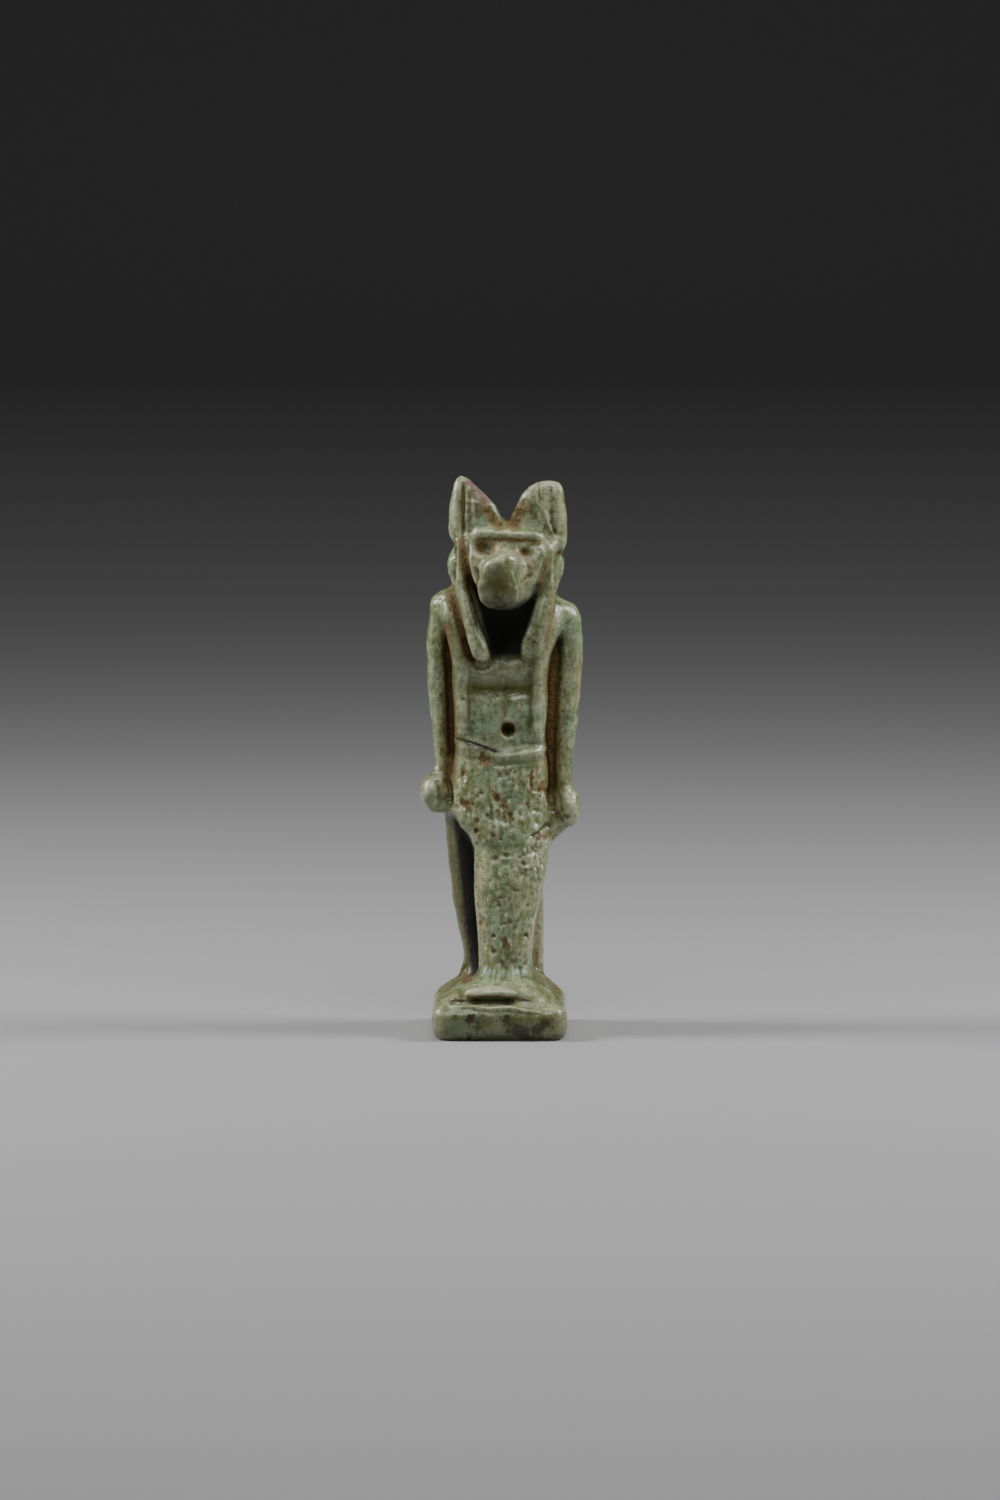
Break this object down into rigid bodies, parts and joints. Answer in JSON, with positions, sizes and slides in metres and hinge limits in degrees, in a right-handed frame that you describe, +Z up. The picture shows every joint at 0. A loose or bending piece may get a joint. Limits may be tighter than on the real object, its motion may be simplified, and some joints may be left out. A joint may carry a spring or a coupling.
{
  "type": "jackal god amulet",
  "caption": "Small green-glazed faience amulet of a striding jackal-headed god on its own plinth, with a back pillar that is pierced sideways for a cord.",
  "frame": {"origin": "on the plinth's underside, at its centre", "axes": "+Z up; the god faces -Y and +X is to the god's left"},
  "size_m": [0.0129, 0.0146, 0.0442],
  "materials": {
    "glazed_faience": "satin green glaze, worn and stained brown in the hollows"
  },
  "bodies": {
    "root": {"jackal_god_amulet": "glazed_faience"}
  },
  "joints": []
}
